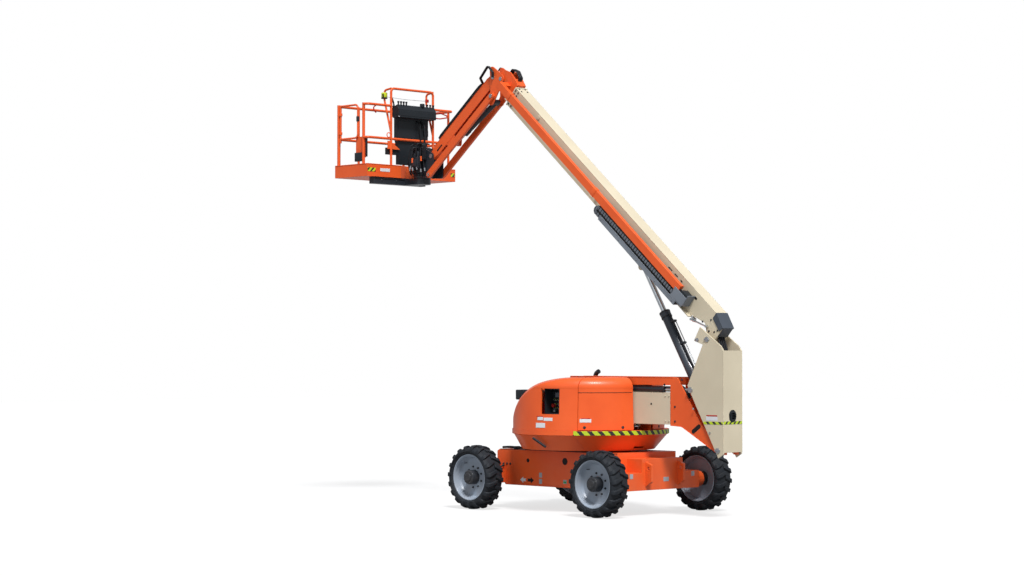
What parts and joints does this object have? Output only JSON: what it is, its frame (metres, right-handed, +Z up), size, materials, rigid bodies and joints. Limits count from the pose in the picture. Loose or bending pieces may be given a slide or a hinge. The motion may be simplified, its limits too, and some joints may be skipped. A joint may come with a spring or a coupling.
{
  "type": "articulating boom lift",
  "caption": "Self-propelled articulating boom lift with telescoping tower and main booms, a parallelogram jib and a railed work platform on a rotator",
  "frame": {"origin": "on the ground under the middle of the machine's box", "axes": "+X towards the platform, +Y to the machine's left, +Z up"},
  "size_m": [7.241, 2.464, 6.5102],
  "materials": {
    "orange_paint": "gloss orange paint",
    "tan_paint": "satin tan paint",
    "dark_steel": "satin blue-black paint",
    "rim_grey": "satin blue-grey paint",
    "rod_chrome": "polished rod",
    "tyre_rubber": "black lugged rubber",
    "black_plastic": "textured black plastic",
    "grey_steel": "zinc-grey steel",
    "engine_iron": "dark engine iron",
    "hose_rubber": "black hydraulic hose"
  },
  "bodies": {
    "chassis": {"chassis_frame": "orange_paint", "front_axle": "orange_paint", "rear_axle": "orange_paint", "swing_bearing": "dark_steel"},
    "knuckle_left": {"knuckle_left": "dark_steel"},
    "knuckle_right": {"knuckle_right": "dark_steel"},
    "tie_rod": {"tie_rod": "dark_steel"},
    "wheel_front_left": {"tyre_front_left": "tyre_rubber", "rim_front_left": "rim_grey"},
    "wheel_front_right": {"tyre_front_right": "tyre_rubber", "rim_front_right": "rim_grey"},
    "wheel_rear_left": {"tyre_rear_left": "tyre_rubber", "rim_rear_left": "rim_grey"},
    "wheel_rear_right": {"tyre_rear_right": "tyre_rubber", "rim_rear_right": "rim_grey"},
    "turntable": {"turntable_deck": "orange_paint", "front_cowl": "orange_paint", "ground_controls": "black_plastic", "turntable_frame": "orange_paint", "engine_block": "engine_iron"},
    "hood_left": {"hood_left": "orange_paint"},
    "hood_right": {"hood_right": "orange_paint"},
    "tower_boom": {"tower_boom": "tan_paint"},
    "tower_fly": {"tower_fly": "orange_paint", "level_barrels": "dark_steel"},
    "tower_barrel": {"tower_barrel": "dark_steel"},
    "tower_rod": {"tower_rod": "rod_chrome"},
    "level_rods": {"level_rods": "rod_chrome"},
    "upright": {"upright": "tan_paint"},
    "main_boom": {"main_boom": "tan_paint", "cable_trough": "grey_steel", "boom_tail_cap": "dark_steel", "level_master": "rod_chrome", "tail_hoses": "hose_rubber"},
    "cable_track": {"cable_track": "black_plastic"},
    "main_fly": {"main_fly": "orange_paint", "push_tube": "orange_paint", "nose_hoses": "hose_rubber"},
    "lift_barrel": {"lift_barrel": "dark_steel"},
    "lift_rod": {"lift_rod": "rod_chrome"},
    "jib_bracket": {"jib_bracket": "orange_paint"},
    "jib_boom": {"jib_boom": "orange_paint", "jib_hoses": "hose_rubber"},
    "jib_links": {"jib_links": "orange_paint"},
    "jib_barrel": {"jib_barrel": "dark_steel"},
    "jib_rod": {"jib_rod": "rod_chrome"},
    "platform_support": {"platform_support": "dark_steel", "platform_hoses": "hose_rubber"},
    "platform": {"platform_carrier": "dark_steel", "platform_floor": "orange_paint", "platform_rails": "orange_paint", "console": "black_plastic"},
    "platform_gate": {"platform_gate": "orange_paint"}
  },
  "joints": [
    {"name": "steering_left", "type": "hinge", "parent": "chassis", "child": "knuckle_left", "pos_m": [0.2905, 0.85, 0.458], "axis": [0, 0, 1], "range_deg": [-35, 35]},
    {"name": "steering_right", "type": "hinge", "parent": "chassis", "child": "knuckle_right", "pos_m": [0.2905, -0.85, 0.458], "axis": [0, 0, 1], "range_deg": [-35, 35]},
    {"name": "tie_rod_pivot", "type": "hinge", "parent": "knuckle_left", "child": "tie_rod", "pos_m": [0.5905, 0.85, 0.398], "axis": [0, 0, 1], "range_deg": [-35, 35]},
    {"name": "wheel_spin_front_left", "type": "hinge", "parent": "knuckle_left", "child": "wheel_front_left", "pos_m": [0.2905, 1.067, 0.458], "axis": [0, 1, 0], "continuous": true},
    {"name": "wheel_spin_front_right", "type": "hinge", "parent": "knuckle_right", "child": "wheel_front_right", "pos_m": [0.2905, -1.067, 0.458], "axis": [0, 1, 0], "continuous": true},
    {"name": "wheel_spin_rear_left", "type": "hinge", "parent": "chassis", "child": "wheel_rear_left", "pos_m": [-2.1495, 1.067, 0.458], "axis": [0, 1, 0], "continuous": true},
    {"name": "wheel_spin_rear_right", "type": "hinge", "parent": "chassis", "child": "wheel_rear_right", "pos_m": [-2.1495, -1.067, 0.458], "axis": [0, 1, 0], "continuous": true},
    {"name": "turntable_swing", "type": "hinge", "parent": "chassis", "child": "turntable", "pos_m": [-0.9295, 0, 0.85], "axis": [0, 0, 1], "continuous": true},
    {"name": "hood_left_hinge", "type": "hinge", "parent": "turntable", "child": "hood_left", "pos_m": [-1.7045, 0.235, 1.853], "axis": [1, 0, 0], "range_deg": [0, 60]},
    {"name": "hood_right_hinge", "type": "hinge", "parent": "turntable", "child": "hood_right", "pos_m": [-1.7045, -0.235, 1.853], "axis": [-1, 0, 0], "range_deg": [0, 60]},
    {"name": "tower_lift", "type": "hinge", "parent": "turntable", "child": "tower_boom", "pos_m": [-0.2795, 0, 1.4], "axis": [0, 1, 0], "range_deg": [0, 68]},
    {"name": "tower_telescope", "type": "slide", "parent": "tower_boom", "child": "tower_fly", "axis": [-1, 0, 0], "range_m": [0, 1.85]},
    {"name": "upright_level", "type": "hinge", "parent": "tower_fly", "child": "upright", "pos_m": [-3.5195, 0, 0.925], "axis": [0, 1, 0], "range_deg": [-68, 0]},
    {"name": "tower_cylinder_swing", "type": "hinge", "parent": "turntable", "child": "tower_barrel", "pos_m": [-0.6295, 0, 0.985], "axis": [0, 1, 0], "range_deg": [0, 68]},
    {"name": "tower_cylinder_stroke", "type": "slide", "parent": "tower_barrel", "child": "tower_rod", "axis": [-0.9829, 0, 0.1843], "range_m": [0, 0.6069]},
    {"name": "level_cylinder_stroke", "type": "slide", "parent": "tower_fly", "child": "level_rods", "axis": [-1, 0, -0.0048], "range_m": [0, 1.0535]},
    {"name": "main_lift", "type": "hinge", "parent": "upright", "child": "main_boom", "pos_m": [-3.3325, 0, 2.42], "axis": [0, -1, 0], "range_deg": [-48, 34]},
    {"name": "main_telescope", "type": "slide", "parent": "main_boom", "child": "main_fly", "axis": [0.7547, 0, 0.6561], "range_m": [0, 4]},
    {"name": "cable_track_slide", "type": "slide", "parent": "main_boom", "child": "cable_track", "axis": [0.7547, 0, 0.6561], "range_m": [0, 2]},
    {"name": "lift_cylinder_swing", "type": "hinge", "parent": "upright", "child": "lift_barrel", "pos_m": [-3.0295, 0, 1.729], "axis": [0, -1, 0], "range_deg": [-38.5, 27.3]},
    {"name": "lift_cylinder_stroke", "type": "slide", "parent": "lift_barrel", "child": "lift_rod", "axis": [0.5095, 0, 0.8605], "range_m": [-0.5914, 0.4192]},
    {"name": "bracket_level", "type": "hinge", "parent": "main_fly", "child": "jib_bracket", "pos_m": [0.7705, 0, 6.3], "axis": [0, -1, 0], "range_deg": [-34, 48]},
    {"name": "jib_lift", "type": "hinge", "parent": "jib_bracket", "child": "jib_boom", "pos_m": [0.9305, 0, 6.34], "axis": [0, -1, 0], "range_deg": [-21.5, 108.5]},
    {"name": "jib_link_swing", "type": "hinge", "parent": "jib_bracket", "child": "jib_links", "pos_m": [0.9305, 0, 6.055], "axis": [0, -1, 0], "range_deg": [-21.5, 108.5]},
    {"name": "support_level", "type": "hinge", "parent": "jib_boom", "child": "platform_support", "pos_m": [2.30789, 0, 5.24437], "axis": [0, -1, 0], "range_deg": [-108.5, 21.5]},
    {"name": "jib_cylinder_swing", "type": "hinge", "parent": "jib_bracket", "child": "jib_barrel", "pos_m": [0.9705, 0, 5.98], "axis": [0, -1, 0], "range_deg": [-21.71, 109.14]},
    {"name": "jib_cylinder_stroke", "type": "slide", "parent": "jib_barrel", "child": "jib_rod", "axis": [0.8419, 0, -0.5397], "range_m": [-0.1096, 0.5488]},
    {"name": "platform_rotate", "type": "hinge", "parent": "platform_support", "child": "platform", "pos_m": [2.6205, 0, 4.93], "axis": [0, 0, 1], "range_deg": [-90, 90]},
    {"name": "gate_hinge", "type": "hinge", "parent": "platform", "child": "platform_gate", "pos_m": [3.5285, 0.8797, 5.9], "axis": [0, 0, -1], "range_deg": [0, 85]}
  ],
  "couplings": [
    {"joint": "steering_right", "follows": "steering_left", "ratio": 1},
    {"joint": "tie_rod_pivot", "follows": "steering_left", "ratio": -1},
    {"joint": "upright_level", "follows": "tower_lift", "ratio": -1},
    {"joint": "tower_cylinder_swing", "follows": "tower_lift", "ratio": 0.963},
    {"joint": "tower_cylinder_stroke", "follows": "tower_lift", "m_per_rad": 0.51054},
    {"joint": "level_cylinder_stroke", "follows": "tower_lift", "m_per_rad": 0.88685},
    {"joint": "cable_track_slide", "follows": "main_telescope", "ratio": 0.5},
    {"joint": "lift_cylinder_swing", "follows": "main_lift", "ratio": 0.8},
    {"joint": "lift_cylinder_stroke", "follows": "main_lift", "m_per_rad": 0.70474},
    {"joint": "bracket_level", "follows": "main_lift", "ratio": -1},
    {"joint": "jib_link_swing", "follows": "jib_lift", "ratio": 1},
    {"joint": "support_level", "follows": "jib_lift", "ratio": -1},
    {"joint": "jib_cylinder_swing", "follows": "jib_lift", "ratio": 1.005},
    {"joint": "jib_cylinder_stroke", "follows": "jib_lift", "m_per_rad": 0.2893}
  ]
}
